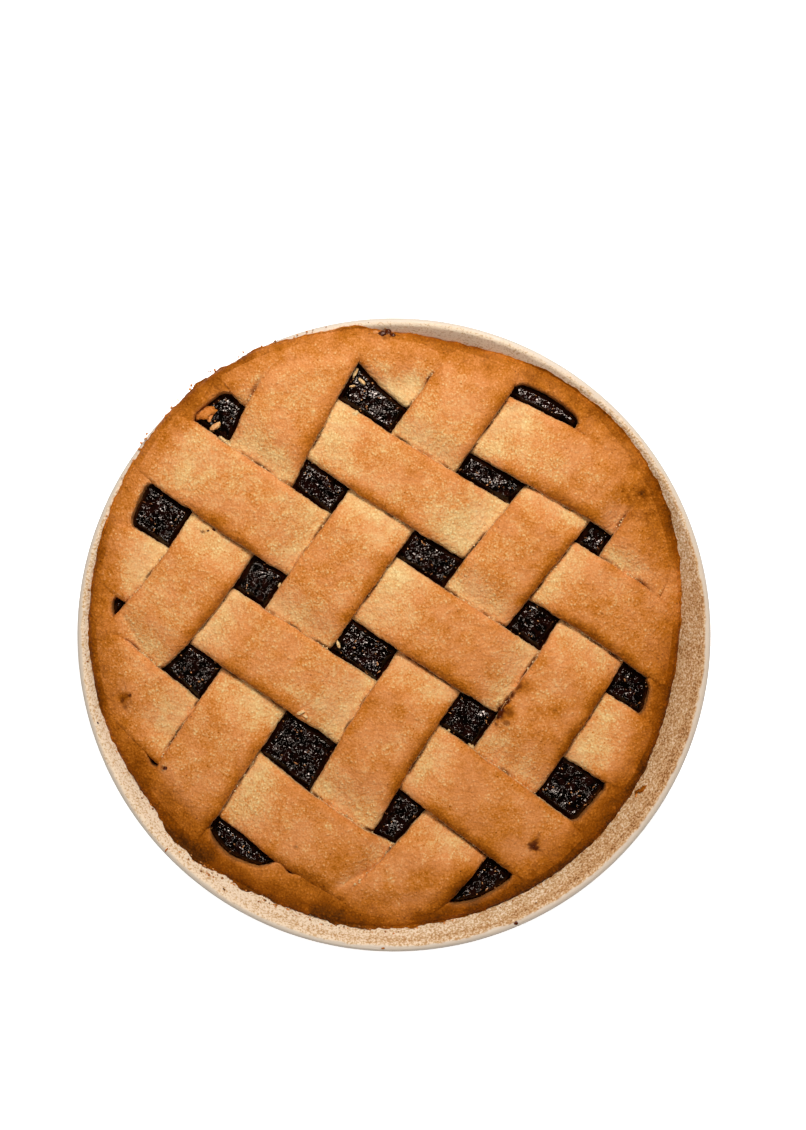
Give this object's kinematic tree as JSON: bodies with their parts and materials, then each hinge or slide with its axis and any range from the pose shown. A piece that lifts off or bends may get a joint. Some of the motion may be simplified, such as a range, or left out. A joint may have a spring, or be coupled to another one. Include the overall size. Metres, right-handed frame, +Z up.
{
  "type": "crostata",
  "caption": "Round lattice-topped jam tart with woven pastry strips over dark glossy jam, baked and kept in its flared ceramic dish.",
  "frame": {"origin": "centre of the dish's base, on the surface it stands on", "axes": "+Z up, out of the dish; +Y towards the far edge as seen from above with +X to the right; the tart's edge laps over the lip on the -X +Y side"},
  "size_m": [0.24, 0.24, 0.0386],
  "materials": {
    "glazed_dish": "cream glaze, dusted with flour and browned butter inside",
    "baked_pastry": "baked shortcrust, golden to brown, fine grain, satin from egg wash",
    "jam": "dark fig jam, wet gloss, lumpy with small seeds"
  },
  "bodies": {
    "root": {"dish": "glazed_dish", "pastry_case": "baked_pastry", "jam_filling": "jam", "strip_a1": "baked_pastry", "strip_a2": "baked_pastry", "strip_a3": "baked_pastry", "strip_a4": "baked_pastry", "strip_b1": "baked_pastry", "strip_b2": "baked_pastry", "strip_b3": "baked_pastry", "strip_b4": "baked_pastry", "strip_b5": "baked_pastry"}
  },
  "joints": []
}
